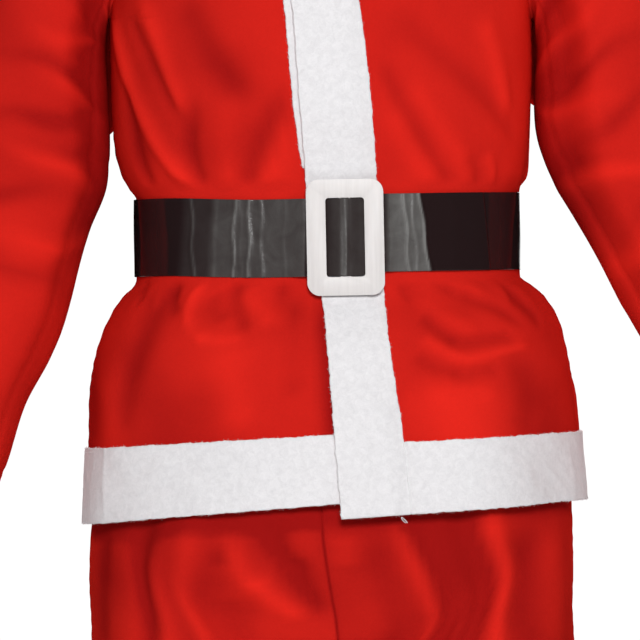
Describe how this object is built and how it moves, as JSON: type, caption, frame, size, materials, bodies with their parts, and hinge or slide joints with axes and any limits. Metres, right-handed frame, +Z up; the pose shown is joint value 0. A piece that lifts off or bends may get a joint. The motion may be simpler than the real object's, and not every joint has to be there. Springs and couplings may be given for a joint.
{
  "type": "santa suit",
  "caption": "Worn felt costume suit: jacket with white front and hem bands, open sleeves, straight trousers, and a wide vinyl belt with a rectangular buckle.",
  "frame": {"origin": "midway between the shoulders, at the height of the shoulder seams' neck ends, where the wearer's shoulders carry the suit", "axes": "+Z up, -Y to the front of the suit, +X to the wearer's left"},
  "size_m": [0.8843, 0.3314, 1.44],
  "materials": {
    "red_felt": "matt brushed felt",
    "white_felt": "matt felt with raw cut edges",
    "black_vinyl": "glossy creased vinyl",
    "ivory_plastic": "satin moulded plastic"
  },
  "bodies": {
    "root": {"jacket_back": "red_felt", "jacket_front_right": "red_felt", "jacket_front_left": "red_felt", "sleeve_right": "red_felt", "sleeve_left": "red_felt", "front_band": "white_felt", "under_band": "white_felt", "hem_band_right": "white_felt", "hem_band_left": "white_felt", "hem_band_back": "white_felt", "trouser_front_right": "red_felt", "trouser_front_left": "red_felt", "trouser_back_right": "red_felt", "trouser_back_left": "red_felt", "belt_strap": "black_vinyl", "buckle": "ivory_plastic"}
  },
  "joints": []
}
